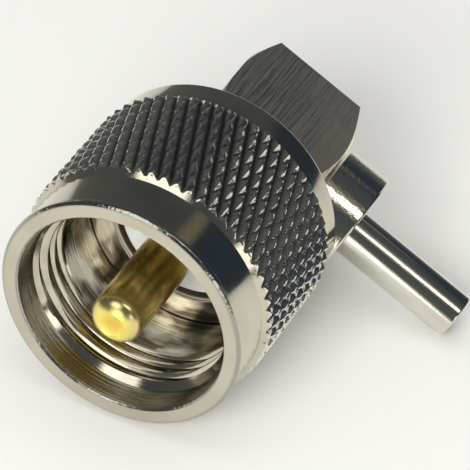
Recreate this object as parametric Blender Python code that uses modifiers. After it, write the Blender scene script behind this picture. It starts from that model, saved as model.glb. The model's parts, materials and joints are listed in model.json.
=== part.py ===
"""Right-angle UHF plug: knurled coupling nut, square elbow with a round boss, and a crimp stem.

Everything is modelled about two axes that cross at a right angle. Y is the plug axis, with the
mouth of the nut at y = 0 and the elbow behind it. X is the stem axis, which crosses Y inside the
elbow. An empty then lays the whole plug down as it comes to rest: on the knurl of the nut and on
the end of the stem.
"""
import math

import bmesh
import bpy
from mathutils import Matrix

MM = 0.001

# Clearances
SEAT_GAP = 0.3 * MM        # between pieces that are pressed together or seated on each other
SPIN_GAP = 0.3 * MM        # between the nut and what it turns on or passes

# Driving sizes
NUT_LENGTH = 16.2 * MM
THREAD_RADIUS = 7.67 * MM  # half way up a 5/8-24 thread, which is left out
PIN_RADIUS = 1.98 * MM
BLOCK_WIDTH = 11.0 * MM
STEM_RADIUS = 1.85 * MM
STEM_LENGTH = 10.35 * MM   # clear of the boss

# Coupling nut, outside
KNURL_TEETH = 60
KNURL_ROWS = 7             # half diamonds along the knurl
KNURL_DEPTH = 0.45 * MM
KNURL_CHAMFER = 0.35 * MM
KNURL_WALL = 1.8 * MM      # from the mouth to the tips of the knurl
REAR_BAND = 1.9 * MM
REAR_EDGE = 0.2 * MM
LIP_WALL = 1.4 * MM
LIP_CHAMFER = 0.3 * MM
LIP_THICKNESS = 0.5 * MM
CONE_LENGTH = 3.4 * MM
CONE_DROP = 0.4 * MM       # step down from the lip to the small end of the cone

# Coupling nut, inside
COUNTERBORE_DEPTH = 2.0 * MM
COUNTERBORE_STEP = 0.53 * MM
MOUTH_CHAMFER = 0.15 * MM
LEAD_IN = 0.7 * MM         # length of the chamfer that leads into the thread
THREAD_SHARE = 0.26        # of the nut's length
RELIEF_STEP = 0.27 * MM    # the turned relief behind the thread is this much wider
RELIEF_PAST_RIM = 1.5 * MM

# Front barrel
BARREL_STEP = 0.37 * MM    # the barrel is this much smaller than the thread
BARREL_INSET = 5.7 * MM    # from its rim to the back of the nut
BARREL_WALL = 1.45 * MM
BARREL_FLOOR = 1.3 * MM
BARREL_EDGE = 0.15 * MM
SPIGOT_RADIUS = 3.6 * MM
SPIGOT_LENGTH = 2.6 * MM
SPIGOT_WALL = 0.6 * MM

# Retaining ring, half in the barrel's groove and half in the nut's
RING_INSET = 2.2 * MM      # from the back of the nut
RING_THICKNESS = 0.8 * MM
RING_BITE = 0.55 * MM      # how deep the ring sits in the barrel
RING_REACH = 0.5 * MM      # how far the ring reaches into the nut's groove
RING_OPENING = 3.0 * MM

# Centre pin and insulators
PIN_TIP_AHEAD = 1.2 * MM   # how far the tip stands out of the nut's mouth
PIN_DOME = 1.2 * MM        # height of the domed tip
PIN_TAIL_SHARE = 0.68      # of the pin's own radius
PIN_SHOULDER_INSET = 3.0 * MM
CORE_SLOT_SHARE = 0.65     # of the tail's radius
CORE_SLOT_DEPTH = 2.3 * MM
BEAD_RECESS = 0.6 * MM     # front bead behind the barrel's rim
REAR_DISC_THICKNESS = 1.4 * MM

# Elbow body, turned from square bar
BLOCK_WALL = 1.1 * MM      # thinnest wall beside the chamber
BLOCK_SHORT = 0.8 * MM     # the closed end is cut back by this much
BLOCK_LONG = 0.2 * MM      # and the stem's end stands out by this much
BLOCK_CHAMFER_ANGLE = math.radians(29.0)
BLOCK_CHAMFER_STEP = 0.15 * MM
BAR_EDGE = 0.12 * MM
BOSS_SHARE = 0.887         # of half the bar's width
BOSS_LENGTH = 3.75 * MM
BOSS_CHAMFER = 0.3 * MM
CABLE_POCKET_SHARE = 2.0   # of the stem's radius

# Rear cap and crimp stem
CAP_LEDGE = 0.3 * MM       # the cap is this much wider than the chamber that it covers
CAP_THICKNESS = 0.8 * MM
CAP_CHAMFER = 0.25 * MM
CAP_PROUD = 0.15 * MM
STEM_WALL = 0.35 * MM
STEM_SEAT = 2.15 * MM      # length held in the boss
STEM_EDGE = 0.2 * MM

# Facets round each kind of piece
BORE_SEGMENTS = 60
BODY_SEGMENTS = 56
SMALL_SEGMENTS = 32

# The nut's sizes that follow from those above
MOUTH_RADIUS = THREAD_RADIUS + COUNTERBORE_STEP
LIP_RADIUS = MOUTH_RADIUS + LIP_WALL
CONE_RADIUS = LIP_RADIUS - CONE_DROP
KNURL_TIP_RADIUS = MOUTH_RADIUS + KNURL_WALL
KNURL_ROOT_RADIUS = KNURL_TIP_RADIUS - KNURL_DEPTH
KNURL_FRONT_Y = LIP_THICKNESS + CONE_LENGTH
KNURL_REAR_Y = NUT_LENGTH - REAR_BAND
BAND_RADIUS = KNURL_ROOT_RADIUS
THREAD_END_Y = COUNTERBORE_DEPTH + THREAD_SHARE * NUT_LENGTH
RELIEF_RADIUS = THREAD_RADIUS + RELIEF_STEP

# The barrel's, ring's and pin's
BARREL_RADIUS = THREAD_RADIUS - BARREL_STEP
BARREL_BORE_RADIUS = BARREL_RADIUS - BARREL_WALL
BARREL_FRONT_Y = NUT_LENGTH - BARREL_INSET
BARREL_REAR_Y = NUT_LENGTH + SPIN_GAP - SEAT_GAP
BARREL_BORE_END_Y = BARREL_REAR_Y - BARREL_FLOOR
SPIGOT_END_Y = BARREL_REAR_Y + SPIGOT_LENGTH
SPIGOT_BORE_RADIUS = SPIGOT_RADIUS - SPIGOT_WALL
NUT_BORE_RADIUS = BARREL_RADIUS + SPIN_GAP
RELIEF_END_Y = BARREL_FRONT_Y + RELIEF_PAST_RIM
RING_Y = NUT_LENGTH - RING_INSET
RING_INNER_RADIUS = BARREL_RADIUS - RING_BITE
RING_OUTER_RADIUS = NUT_BORE_RADIUS + RING_REACH
BEAD_FRONT_Y = BARREL_FRONT_Y + BEAD_RECESS
BEAD_REAR_Y = BARREL_BORE_END_Y - SEAT_GAP
PIN_SHOULDER_Y = NUT_LENGTH - PIN_SHOULDER_INSET
PIN_TAIL_RADIUS = PIN_RADIUS * PIN_TAIL_SHARE
CORE_SLOT = PIN_TAIL_RADIUS * CORE_SLOT_SHARE

# The elbow's, cap's and stem's
BLOCK_HALF = BLOCK_WIDTH / 2
BLOCK_FACE_Y = NUT_LENGTH + SPIN_GAP
STEM_AXIS_Y = BLOCK_FACE_Y + BLOCK_HALF
BLOCK_REAR_Y = STEM_AXIS_Y + BLOCK_HALF
BLOCK_BACK_X = BLOCK_SHORT - BLOCK_HALF
BLOCK_FRONT_X = BLOCK_HALF + BLOCK_LONG
BLOCK_CHAMFER_RADIUS = BLOCK_HALF + BLOCK_CHAMFER_STEP
BOSS_RADIUS = BLOCK_HALF * BOSS_SHARE
BOSS_END_X = BLOCK_FRONT_X + BOSS_LENGTH
CHAMBER_RADIUS = BLOCK_HALF - BLOCK_WALL
PIN_TAIL_END_Y = STEM_AXIS_Y + PIN_TAIL_RADIUS
CAP_RADIUS = CHAMBER_RADIUS + CAP_LEDGE
CAP_SEAT_Y = BLOCK_REAR_Y + CAP_PROUD - CAP_THICKNESS - SEAT_GAP
STEM_BORE_RADIUS = STEM_RADIUS - STEM_WALL
STEM_END_X = BOSS_END_X + STEM_LENGTH
STEM_SEAT_X = BOSS_END_X - STEM_SEAT
CABLE_POCKET_RADIUS = STEM_RADIUS * CABLE_POCKET_SHARE

# How far the plug rolls before the stem's end touches what the knurl stands on
STEM_TOUCH_X = STEM_END_X - STEM_EDGE
STEM_REACH = math.hypot(STEM_TOUCH_X, STEM_RADIUS)
ROLL = math.asin(KNURL_TIP_RADIUS / STEM_REACH) - math.atan2(STEM_RADIUS, STEM_TOUCH_X)


def clear_scene():
    for old in list(bpy.data.objects):
        bpy.data.objects.remove(old, do_unlink=True)


def new_collection(name):
    made = bpy.data.collections.new(name)
    bpy.context.scene.collection.children.link(made)
    return made


def make_material(name, colour, roughness, metallic):
    made = bpy.data.materials.new(name)
    made.use_nodes = True
    shader = made.node_tree.nodes["Principled BSDF"]
    shader.inputs["Base Color"].default_value = (*colour, 1.0)
    shader.inputs["Roughness"].default_value = roughness
    shader.inputs["Metallic"].default_value = metallic
    return made


def shade(mesh):
    mesh.shade_smooth()
    mesh.set_sharp_from_angle(angle=math.radians(25))


def add_object(name, mesh, collection, material=None):
    made = bpy.data.objects.new(name, mesh)
    collection.objects.link(made)
    if material:
        mesh.materials.append(material)
    return made


def as_cutter(cutter):
    cutter.hide_render = True
    cutter.display_type = "WIRE"
    return cutter


def turned(name, profile, collection, material=None, segments=BODY_SEGMENTS, closed=False, along="Y"):
    """A turned piece. The profile lists (place on the axis, radius) and runs down its outer side."""
    mesh = bpy.data.meshes.new(name)
    points = [(radius, 0.0, place) for place, radius in profile]
    edges = [(i, i + 1) for i in range(len(points) - 1)]
    if closed:
        edges.append((len(points) - 1, 0))
    mesh.from_pydata(points, edges, [])
    made = add_object(name, mesh, collection, material)
    screw = made.modifiers.new("turn", "SCREW")
    screw.axis = "Z"
    screw.steps = segments
    screw.render_steps = segments
    screw.use_merge_vertices = True
    screw.merge_threshold = 0.00001
    screw.use_smooth_shade = True
    if along == "Y":
        made.matrix_local = Matrix.Rotation(-math.pi / 2, 4, "X")
    else:
        made.matrix_local = Matrix.Translation((0, STEM_AXIS_Y, 0)) @ Matrix.Rotation(math.pi / 2, 4, "Y")
    return made


def boolean(target, other, operation, name):
    step = target.modifiers.new(name, "BOOLEAN")
    step.operation = operation
    step.solver = "EXACT"
    step.object = other
    return step


def box_mesh(name, low, high):
    mesh = bpy.data.meshes.new(name)
    form = bmesh.new()
    bmesh.ops.create_cube(form, size=1.0)
    size = [high[i] - low[i] for i in range(3)]
    middle = [(high[i] + low[i]) / 2 for i in range(3)]
    bmesh.ops.scale(form, vec=size, verts=form.verts)
    bmesh.ops.translate(form, vec=middle, verts=form.verts)
    form.to_mesh(mesh)
    form.free()
    return mesh


def knurled_blank_rings():
    """Rings of the nut's outside, rear to front, as (y, radii at even and odd steps round the nut)."""
    def plain(y, radius):
        return (y, radius, radius)

    rings = [
        plain(NUT_LENGTH, BAND_RADIUS - REAR_EDGE),
        plain(NUT_LENGTH - REAR_EDGE, BAND_RADIUS),
        plain(KNURL_REAR_Y, BAND_RADIUS),
    ]
    first = KNURL_REAR_Y - KNURL_CHAMFER
    last = KNURL_FRONT_Y + KNURL_CHAMFER
    for row in range(KNURL_ROWS + 1):
        y = first + (last - first) * row / KNURL_ROWS
        high_low = (KNURL_TIP_RADIUS, KNURL_ROOT_RADIUS)
        if row % 2:
            high_low = high_low[::-1]
        rings.append((y, *high_low))
    rings += [
        plain(KNURL_FRONT_Y, KNURL_ROOT_RADIUS),
        plain(LIP_THICKNESS + LIP_CHAMFER, CONE_RADIUS),
        plain(LIP_THICKNESS, CONE_RADIUS),
        plain(LIP_THICKNESS, LIP_RADIUS),
        plain(LIP_CHAMFER, LIP_RADIUS),
        plain(0.0, LIP_RADIUS - LIP_CHAMFER),
    ]
    return rings


def knurled_blank_mesh():
    """The nut before boring: each diamond of the knurl is a pyramid between four grooves."""
    form = bmesh.new()
    steps = 2 * KNURL_TEETH
    rings = []
    for y, even, odd in knurled_blank_rings():
        ring = []
        for i in range(steps):
            angle = 2 * math.pi * i / steps
            radius = odd if i % 2 else even
            ring.append(form.verts.new((radius * math.cos(angle), y, radius * math.sin(angle))))
        rings.append((ring, even > odd, even != odd))
    for (upper, upper_even_high, upper_cut), (lower, lower_even_high, lower_cut) in zip(rings, rings[1:]):
        for i in range(steps):
            j = (i + 1) % steps
            a, b, c, d = upper[i], upper[j], lower[j], lower[i]
            if not (upper_cut or lower_cut):
                form.faces.new((a, b, c, d))
                continue
            if upper_cut:
                low_a = upper_even_high == bool(i % 2)
            else:
                low_a = lower_even_high != bool(i % 2)
            if low_a:
                form.faces.new((a, b, c))
                form.faces.new((a, c, d))
            else:
                form.faces.new((a, b, d))
                form.faces.new((b, c, d))
    form.faces.new(rings[0][0])
    form.faces.new(list(reversed(rings[-1][0])))
    bmesh.ops.recalc_face_normals(form, faces=form.faces)
    mesh = bpy.data.meshes.new("coupling_nut")
    form.to_mesh(mesh)
    form.free()
    return mesh


def make_coupling_nut(parts, cutters, nickel):
    nut = add_object("coupling_nut", knurled_blank_mesh(), parts, nickel)
    groove_half = RING_THICKNESS / 2 + SPIN_GAP
    groove_radius = RING_OUTER_RADIUS + SPIN_GAP
    past = 1.0 * MM
    profile = [
        (NUT_LENGTH + past, 0.0),
        (NUT_LENGTH + past, NUT_BORE_RADIUS),
        (RING_Y + groove_half, NUT_BORE_RADIUS),
        (RING_Y + groove_half, groove_radius),
        (RING_Y - groove_half, groove_radius),
        (RING_Y - groove_half, NUT_BORE_RADIUS),
        (RELIEF_END_Y, NUT_BORE_RADIUS),
        (RELIEF_END_Y - (RELIEF_RADIUS - NUT_BORE_RADIUS), RELIEF_RADIUS),
        (THREAD_END_Y, RELIEF_RADIUS),
        (THREAD_END_Y, THREAD_RADIUS),
        (COUNTERBORE_DEPTH + LEAD_IN, THREAD_RADIUS),
        (COUNTERBORE_DEPTH, MOUTH_RADIUS),
        (MOUTH_CHAMFER, MOUTH_RADIUS),
        (-past, MOUTH_RADIUS + MOUTH_CHAMFER + past),
        (-past, 0.0),
    ]
    bore = as_cutter(turned("nut_bore", profile, cutters, segments=BORE_SEGMENTS))
    boolean(nut, bore, "DIFFERENCE", "bore")
    shade(nut.data)
    return nut, [bore]


def make_retaining_ring(parts, cutters, spring_bronze):
    half = RING_THICKNESS / 2
    profile = [
        (RING_Y + half, RING_INNER_RADIUS),
        (RING_Y + half, RING_OUTER_RADIUS),
        (RING_Y - half, RING_OUTER_RADIUS),
        (RING_Y - half, RING_INNER_RADIUS),
    ]
    ring = turned("retaining_ring", profile, parts, spring_bronze, closed=True)
    low = (-RING_OPENING / 2, RING_Y - RING_THICKNESS, 0.0)
    high = (RING_OPENING / 2, RING_Y + RING_THICKNESS, RING_OUTER_RADIUS + RING_THICKNESS)
    split = as_cutter(add_object("ring_split", box_mesh("ring_split", low, high), cutters))
    boolean(ring, split, "DIFFERENCE", "split")
    return ring, [split]


def make_front_barrel(parts, nickel):
    groove_half = RING_THICKNESS / 2 + SEAT_GAP
    groove_radius = RING_INNER_RADIUS - SEAT_GAP
    profile = [
        (SPIGOT_END_Y, SPIGOT_BORE_RADIUS),
        (SPIGOT_END_Y, SPIGOT_RADIUS),
        (BARREL_REAR_Y, SPIGOT_RADIUS),
        (BARREL_REAR_Y, BARREL_RADIUS),
        (RING_Y + groove_half, BARREL_RADIUS),
        (RING_Y + groove_half, groove_radius),
        (RING_Y - groove_half, groove_radius),
        (RING_Y - groove_half, BARREL_RADIUS),
        (BARREL_FRONT_Y + BARREL_EDGE, BARREL_RADIUS),
        (BARREL_FRONT_Y, BARREL_RADIUS - BARREL_EDGE),
        (BARREL_FRONT_Y, BARREL_BORE_RADIUS + BARREL_EDGE),
        (BARREL_FRONT_Y + BARREL_EDGE, BARREL_BORE_RADIUS),
        (BARREL_BORE_END_Y, BARREL_BORE_RADIUS),
        (BARREL_BORE_END_Y, SPIGOT_BORE_RADIUS),
    ]
    return turned("front_barrel", profile, parts, nickel, closed=True)


def make_front_insulator(parts, ptfe):
    bore = PIN_RADIUS + SEAT_GAP
    tail_bore = PIN_TAIL_RADIUS + SEAT_GAP
    step_y = PIN_SHOULDER_Y + SEAT_GAP
    bead = BARREL_BORE_RADIUS - SEAT_GAP
    tail = SPIGOT_BORE_RADIUS - SEAT_GAP
    profile = [
        (SPIGOT_END_Y, tail_bore),
        (SPIGOT_END_Y, tail),
        (BEAD_REAR_Y, tail),
        (BEAD_REAR_Y, bead),
        (BEAD_FRONT_Y, bead),
        (BEAD_FRONT_Y, bore),
        (step_y, bore),
        (step_y, tail_bore),
    ]
    return turned("front_insulator", profile, parts, ptfe, segments=SMALL_SEGMENTS, closed=True)


def make_centre_pin(parts, cutters, gold):
    dome_y = -PIN_TIP_AHEAD + PIN_DOME
    dome_steps = 6
    profile = [
        (PIN_TAIL_END_Y, 0.0),
        (PIN_TAIL_END_Y, PIN_TAIL_RADIUS),
        (PIN_SHOULDER_Y, PIN_TAIL_RADIUS),
        (PIN_SHOULDER_Y, PIN_RADIUS),
    ]
    for i in range(dome_steps):
        turn = math.pi / 2 * i / dome_steps
        profile.append((dome_y - PIN_DOME * math.sin(turn), PIN_RADIUS * math.cos(turn)))
    profile.append((dome_y - PIN_DOME, 0.0))
    pin = turned("centre_pin", profile, parts, gold, segments=SMALL_SEGMENTS)
    past = PIN_TAIL_RADIUS
    low = (-PIN_TAIL_RADIUS - past, PIN_TAIL_END_Y - CORE_SLOT_DEPTH, -CORE_SLOT / 2)
    high = (PIN_TAIL_RADIUS + past, PIN_TAIL_END_Y + past, CORE_SLOT / 2)
    slot = as_cutter(add_object("core_slot", box_mesh("core_slot", low, high), cutters))
    boolean(pin, slot, "DIFFERENCE", "core slot")
    return pin, [slot]


def make_elbow_body(parts, cutters, nickel):
    """Square bar, turned in a lathe about the stem axis, then bored from the front, side and back."""
    past = 1.0 * MM
    low = (BLOCK_BACK_X, BLOCK_FACE_Y, -BLOCK_HALF)
    high = (BOSS_END_X + past, BLOCK_REAR_Y, BLOCK_HALF)
    body = add_object("elbow_body", box_mesh("elbow_body", low, high), parts, nickel)
    edge = body.modifiers.new("bar edges", "BEVEL")
    edge.width = BAR_EDGE
    edge.segments = 1
    edge.limit_method = "ANGLE"

    slope = math.tan(BLOCK_CHAMFER_ANGLE)
    outside = BLOCK_WIDTH
    blank_profile = [
        (BOSS_END_X, 0.0),
        (BOSS_END_X, BOSS_RADIUS - BOSS_CHAMFER),
        (BOSS_END_X - BOSS_CHAMFER, BOSS_RADIUS),
        (BLOCK_FRONT_X, BOSS_RADIUS),
        (BLOCK_FRONT_X - (outside - BOSS_RADIUS) * slope, outside),
        (BLOCK_BACK_X + (outside - BLOCK_CHAMFER_RADIUS) * slope, outside),
        (BLOCK_BACK_X - past, BLOCK_CHAMFER_RADIUS - past / slope),
        (BLOCK_BACK_X - past, 0.0),
    ]
    blank = as_cutter(turned("turned_form", blank_profile, cutters, along="X"))

    socket = SPIGOT_RADIUS + SEAT_GAP
    cap_seat = CAP_RADIUS + SEAT_GAP
    chamber_profile = [
        (BLOCK_REAR_Y + past, 0.0),
        (BLOCK_REAR_Y + past, cap_seat),
        (CAP_SEAT_Y, cap_seat),
        (CAP_SEAT_Y, CHAMBER_RADIUS),
        (SPIGOT_END_Y + SEAT_GAP, CHAMBER_RADIUS),
        (SPIGOT_END_Y + SEAT_GAP, socket),
        (BLOCK_FACE_Y - past, socket),
        (BLOCK_FACE_Y - past, 0.0),
    ]
    chamber = as_cutter(turned("chamber", chamber_profile, cutters))

    stem_socket = STEM_RADIUS + SEAT_GAP
    cable_profile = [
        (BOSS_END_X + past, 0.0),
        (BOSS_END_X + past, stem_socket),
        (STEM_SEAT_X - SEAT_GAP, stem_socket),
        (STEM_SEAT_X - SEAT_GAP, CABLE_POCKET_RADIUS),
        (0.0, CABLE_POCKET_RADIUS),
        (0.0, 0.0),
    ]
    cable_way = as_cutter(turned("cable_way", cable_profile, cutters, segments=SMALL_SEGMENTS, along="X"))
    boolean(body, blank, "INTERSECT", "turn")
    boolean(body, chamber, "DIFFERENCE", "chamber")
    boolean(body, cable_way, "DIFFERENCE", "cable way")
    shade(body.data)
    return body, [blank, chamber, cable_way]


def make_rear_insulator(parts, ptfe):
    rear = CAP_SEAT_Y
    front = CAP_SEAT_Y - REAR_DISC_THICKNESS
    radius = CHAMBER_RADIUS - SEAT_GAP
    profile = [(rear, 0.0), (rear, radius), (front, radius), (front, 0.0)]
    return turned("rear_insulator", profile, parts, ptfe, segments=SMALL_SEGMENTS)


def make_rear_cap(parts, nickel):
    rear = BLOCK_REAR_Y + CAP_PROUD
    profile = [
        (rear, 0.0),
        (rear, CAP_RADIUS - CAP_CHAMFER),
        (rear - CAP_CHAMFER, CAP_RADIUS),
        (rear - CAP_THICKNESS, CAP_RADIUS),
        (rear - CAP_THICKNESS, 0.0),
    ]
    return turned("rear_cap", profile, parts, nickel)


def make_crimp_stem(parts, nickel):
    profile = [
        (STEM_END_X, STEM_BORE_RADIUS),
        (STEM_END_X, STEM_RADIUS - STEM_EDGE),
        (STEM_END_X - STEM_EDGE, STEM_RADIUS),
        (STEM_SEAT_X, STEM_RADIUS),
        (STEM_SEAT_X, STEM_BORE_RADIUS),
    ]
    return turned("crimp_stem", profile, parts, nickel, segments=SMALL_SEGMENTS, closed=True, along="X")


def lay_down(pieces):
    """Roll the plug about its own axis until the stem's end touches what the knurl stands on."""
    reach = STEM_END_X * math.cos(ROLL) + STEM_RADIUS * math.sin(ROLL)
    depth = BLOCK_REAR_Y + CAP_PROUD
    rest = bpy.data.objects.new("rest", None)
    bpy.context.scene.collection.objects.link(rest)
    rest.location = ((KNURL_TIP_RADIUS - reach) / 2, (PIN_TIP_AHEAD - depth) / 2, KNURL_TIP_RADIUS)
    rest.rotation_euler = (0.0, ROLL, 0.0)
    for piece in pieces:
        piece.parent = rest


def build():
    clear_scene()
    parts = new_collection("right_angle_uhf_plug")
    cutters = new_collection("cutters")
    nickel = make_material("nickel_plate", (0.56, 0.54, 0.47), 0.18, 1.0)
    gold = make_material("gold_plate", (0.80, 0.62, 0.20), 0.22, 1.0)
    ptfe = make_material("white_ptfe", (0.90, 0.90, 0.88), 0.45, 0.0)
    spring_bronze = make_material("spring_bronze", (0.60, 0.42, 0.24), 0.30, 1.0)

    nut, nut_cutters = make_coupling_nut(parts, cutters, nickel)
    ring, ring_cutters = make_retaining_ring(parts, cutters, spring_bronze)
    pin, pin_cutters = make_centre_pin(parts, cutters, gold)
    body, body_cutters = make_elbow_body(parts, cutters, nickel)
    pieces = [
        nut,
        ring,
        pin,
        body,
        make_front_barrel(parts, nickel),
        make_front_insulator(parts, ptfe),
        make_rear_insulator(parts, ptfe),
        make_rear_cap(parts, nickel),
        make_crimp_stem(parts, nickel),
    ]
    lay_down(pieces + nut_cutters + ring_cutters + pin_cutters + body_cutters)


build()
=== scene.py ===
import json
import math

import bmesh
import bpy
from mathutils import Euler, Matrix, Vector


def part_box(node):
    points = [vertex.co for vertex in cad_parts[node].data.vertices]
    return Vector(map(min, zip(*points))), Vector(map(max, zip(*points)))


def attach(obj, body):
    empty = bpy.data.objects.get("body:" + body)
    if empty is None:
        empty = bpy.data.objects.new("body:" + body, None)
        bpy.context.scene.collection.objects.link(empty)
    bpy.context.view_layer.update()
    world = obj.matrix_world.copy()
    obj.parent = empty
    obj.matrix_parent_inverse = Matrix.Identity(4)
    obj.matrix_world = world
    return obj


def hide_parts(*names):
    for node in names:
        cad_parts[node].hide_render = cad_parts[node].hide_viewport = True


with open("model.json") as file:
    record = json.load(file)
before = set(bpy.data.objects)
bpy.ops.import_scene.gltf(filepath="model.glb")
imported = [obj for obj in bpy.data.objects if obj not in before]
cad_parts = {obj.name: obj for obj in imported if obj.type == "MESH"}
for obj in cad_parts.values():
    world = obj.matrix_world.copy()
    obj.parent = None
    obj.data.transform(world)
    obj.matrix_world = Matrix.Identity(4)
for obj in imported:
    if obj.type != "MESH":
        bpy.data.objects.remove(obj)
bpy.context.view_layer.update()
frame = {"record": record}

# Where the plug lies
# Every piece is made in the plug's own directions, in millimetres: Y runs back from the nut's mouth
# along the plug, and X runs out along the stem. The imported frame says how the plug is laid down.
MM = 0.001
nut_low, nut_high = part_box("coupling_nut")
mounts = {mount["name"]: mount for mount in frame["record"]["mounts"]}
stem_direction = mounts["ferrule_face"]["axis"]
ROLL = math.atan2(-stem_direction[2], stem_direction[0])
MOUTH_CENTRE = Vector(((nut_low[0] + nut_high[0]) / 2, nut_low[1], (nut_low[2] + nut_high[2]) / 2))
LAY = Matrix.Translation(MOUTH_CENTRE) @ Matrix.Rotation(ROLL, 4, "Y") @ Matrix.Scale(MM, 4)
STEM_AXIS_Y = 22.0


# Camera
# It stands a quarter of a metre off and looks down at the nut's mouth and the knurl. Its long lens
# fills the picture with the plug.
CAMERA_TURNS = (49.9085, -4.8026, 26.2078)
camera_data = bpy.data.cameras.new("camera")
camera_data.sensor_width = 36.0
camera_data.lens = 270.64
camera_data.clip_start = 0.01
camera = bpy.data.objects.new("camera", camera_data)
camera.location = (0.07391, -0.18507, 0.17654)
camera.rotation_euler = Euler([math.radians(turn) for turn in CAMERA_TURNS], "XYZ")
bpy.context.scene.collection.objects.link(camera)
bpy.context.scene.camera = camera
bpy.context.scene.view_settings.view_transform = "Standard"


# Floor, room and lamps
# The plug lies on a plain pale floor under soft lamps. Around it stands a dim room with a few bright
# places, which shows in reflections alone.
ROOM_RADIUS = 0.75
FLOOR_SECTORS = 64
ROOM_RINGS = 16
ROOM_SECTORS = 48


def new_material(name):
    made = bpy.data.materials.new(name)
    made.use_nodes = True
    return made, made.node_tree.nodes, made.node_tree.links, made.node_tree.nodes["Principled BSDF"]


def stage_mesh(name, points, faces, material):
    mesh = bpy.data.meshes.new(name)
    mesh.from_pydata(points, [], faces)
    mesh.materials.append(material)
    made = bpy.data.objects.new(name, mesh)
    bpy.context.scene.collection.objects.link(made)
    return made


floor_material, nodes, links, shader = new_material("pale_floor")
shader.inputs["Base Color"].default_value = (0.93, 0.92, 0.88, 1.0)
shader.inputs["Roughness"].default_value = 1.0
shader.inputs["Specular IOR Level"].default_value = 0.0
floor_points = []
for sector in range(FLOOR_SECTORS):
    turn = 2 * math.pi * sector / FLOOR_SECTORS
    floor_points.append((ROOM_RADIUS * math.cos(turn), ROOM_RADIUS * math.sin(turn), 0.0))
stage_mesh("floor", floor_points, [tuple(range(FLOOR_SECTORS))], floor_material)

world = bpy.data.worlds.new("room_light")
world.use_nodes = True
bpy.context.scene.world = world
world.node_tree.nodes["Background"].inputs["Color"].default_value = (1.0, 1.0, 1.0, 1.0)
world.node_tree.nodes["Background"].inputs["Strength"].default_value = 0.5


def heading(azimuth, elevation):
    """A direction from the plug: azimuth 0 is out of the nut's mouth, 90 is along +X."""
    a = math.radians(azimuth)
    e = math.radians(elevation)
    return Vector((math.sin(a) * math.cos(e), -math.cos(a) * math.cos(e), math.sin(e)))


def add_glow(nodes, links, place, azimuth, elevation, size, soft, colour, under):
    """A round glow on the room's wall, laid over the colour in the socket under."""
    toward = nodes.new("ShaderNodeVectorMath")
    toward.operation = "DOT_PRODUCT"
    toward.inputs[1].default_value = heading(azimuth, elevation)
    links.new(place, toward.inputs[0])
    edge = nodes.new("ShaderNodeMapRange")
    edge.interpolation_type = "SMOOTHSTEP"
    edge.inputs["From Min"].default_value = math.cos(math.radians(size + soft))
    edge.inputs["From Max"].default_value = math.cos(math.radians(max(size - soft, 0.0)))
    links.new(toward.outputs["Value"], edge.inputs["Value"])
    mix = nodes.new("ShaderNodeMix")
    mix.data_type = "RGBA"
    mix.inputs["B"].default_value = (*colour, 1.0)
    links.new(edge.outputs["Result"], mix.inputs["Factor"])
    links.new(under, mix.inputs["A"])
    return mix.outputs["Result"]


room_material, nodes, links, shader = new_material("dim_room")
nodes.remove(shader)
glow = nodes.new("ShaderNodeEmission")
spot = nodes.new("ShaderNodeTexCoord")
unit = nodes.new("ShaderNodeVectorMath")
unit.operation = "NORMALIZE"
links.new(spot.outputs["Object"], unit.inputs[0])
split = nodes.new("ShaderNodeSeparateXYZ")
links.new(unit.outputs["Vector"], split.inputs["Vector"])
wall = nodes.new("ShaderNodeValToRGB")
links.new(split.outputs["Z"], wall.inputs["Fac"])
# The wall's colour from the floor up to the top of the room.
wall.color_ramp.elements[0].position = 0.0
wall.color_ramp.elements[0].color = (0.16, 0.16, 0.145, 1.0)
wall.color_ramp.elements[1].position = 1.0
wall.color_ramp.elements[1].color = (0.11, 0.115, 0.118, 1.0)
for height, colour in (
    (0.18, (0.11, 0.115, 0.11, 1.0)),
    (0.5, (0.088, 0.098, 0.104, 1.0)),
    (0.77, (0.07, 0.078, 0.084, 1.0)),
):
    step = wall.color_ramp.elements.new(height)
    step.color = colour
# Each glow: azimuth, elevation, size and softness in degrees, and colour.
GLOWS = [
    (137, 18, 27, 7, (0.032, 0.044, 0.064)),
    (152, 44, 4, 4, (0.20, 0.18, 0.14)),
    (-4, 9, 19, 7, (0.95, 0.88, 0.70)),
    (0, 7, 14, 2, (2.2, 2.15, 2.0)),
    (-18, 45, 17, 3, (1.9, 1.87, 1.78)),
    (51, 12, 9, 2, (1.9, 1.87, 1.78)),
    (64, 59, 13, 6, (0.36, 0.32, 0.25)),
    (46, 67, 5.5, 1.5, (2.6, 2.55, 2.4)),
    (54, 63, 5.5, 1.5, (2.6, 2.55, 2.4)),
    (61, 59, 5.5, 1.5, (2.6, 2.55, 2.4)),
    (66, 54, 5.5, 1.5, (2.6, 2.55, 2.4)),
    (70, 49, 5.5, 1.5, (2.6, 2.55, 2.4)),
]
direction = unit.outputs["Vector"]
wall_colour = wall.outputs["Color"]
for azimuth, elevation, size, soft, colour in GLOWS:
    wall_colour = add_glow(nodes, links, direction, azimuth, elevation, size, soft, colour, wall_colour)
links.new(wall_colour, glow.inputs["Color"])
links.new(glow.outputs["Emission"], nodes["Material Output"].inputs["Surface"])

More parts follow.
